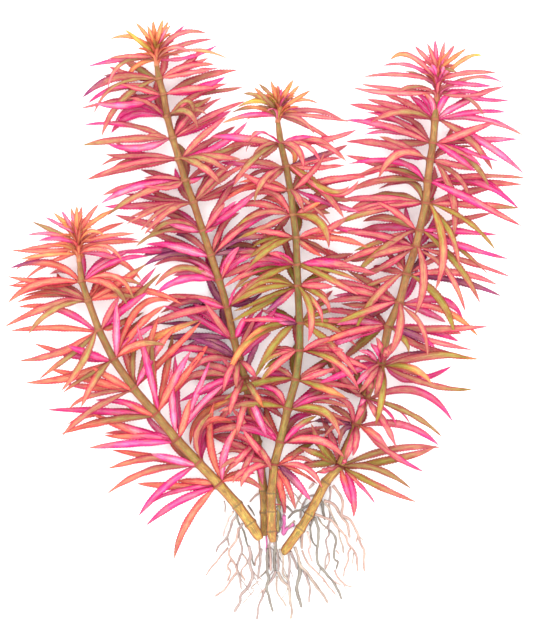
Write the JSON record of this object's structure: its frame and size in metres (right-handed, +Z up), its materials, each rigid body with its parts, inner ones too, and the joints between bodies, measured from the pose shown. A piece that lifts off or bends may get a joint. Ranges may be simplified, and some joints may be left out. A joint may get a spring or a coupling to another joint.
{
  "type": "bare-rooted aquarium stem plant",
  "caption": "Lying bunch of pink whorled stem-plant shoots with serrated lance leaves, yellow-brown stems and thin bare roots.",
  "frame": {"origin": "centre of the plant's bounding box in the plane, on the surface it lies on", "axes": "+Y from the roots toward the growing ends, +X to the right seen from above, +Z up off the surface"},
  "size_m": [0.286, 0.331, 0.0409],
  "materials": {
    "leaves": "thin satin leaf tissue, rose and salmon to olive, darker pink margins",
    "young_leaves": "thin satin young leaf tissue, orange and yellow-green to pink",
    "stems": "smooth fleshy stem, olive-brown with yellow-green and rust streaks",
    "roots": "matt thin roots, grey-beige with a pink cast"
  },
  "bodies": {
    "root": {"left_roots": "roots", "left_shoot_tip": "young_leaves", "left_stem": "stems", "left_whorl_01": "leaves", "left_whorl_02": "leaves", "left_whorl_03": "leaves", "left_whorl_04": "leaves", "left_whorl_05": "leaves", "left_whorl_06": "leaves", "left_whorl_07": "leaves", "left_whorl_08": "leaves", "left_whorl_09": "leaves", "middle_roots": "roots", "middle_shoot_tip": "young_leaves", "middle_stem": "stems", "middle_whorl_01": "leaves", "middle_whorl_02": "leaves", "middle_whorl_03": "leaves", "middle_whorl_04": "leaves", "middle_whorl_05": "leaves", "middle_whorl_06": "leaves", "middle_whorl_07": "leaves", "middle_whorl_08": "leaves", "middle_whorl_09": "leaves", "middle_whorl_10": "leaves", "middle_whorl_11": "leaves", "middle_whorl_12": "leaves", "middle_whorl_13": "leaves", "right_roots": "roots", "right_shoot_tip": "young_leaves", "right_stem": "stems", "right_whorl_01": "leaves", "right_whorl_02": "leaves", "right_whorl_03": "leaves", "right_whorl_04": "leaves", "right_whorl_05": "leaves", "right_whorl_06": "leaves", "right_whorl_07": "leaves", "right_whorl_08": "leaves", "right_whorl_09": "leaves", "right_whorl_10": "leaves", "right_whorl_11": "leaves", "right_whorl_12": "leaves", "right_whorl_13": "leaves", "right_whorl_14": "leaves", "tall_roots": "roots", "tall_shoot_tip": "young_leaves", "tall_stem": "stems", "tall_whorl_01": "leaves", "tall_whorl_02": "leaves", "tall_whorl_03": "leaves", "tall_whorl_04": "leaves", "tall_whorl_05": "leaves", "tall_whorl_06": "leaves", "tall_whorl_07": "leaves", "tall_whorl_08": "leaves", "tall_whorl_09": "leaves", "tall_whorl_10": "leaves", "tall_whorl_11": "leaves", "tall_whorl_12": "leaves"}
  },
  "joints": []
}
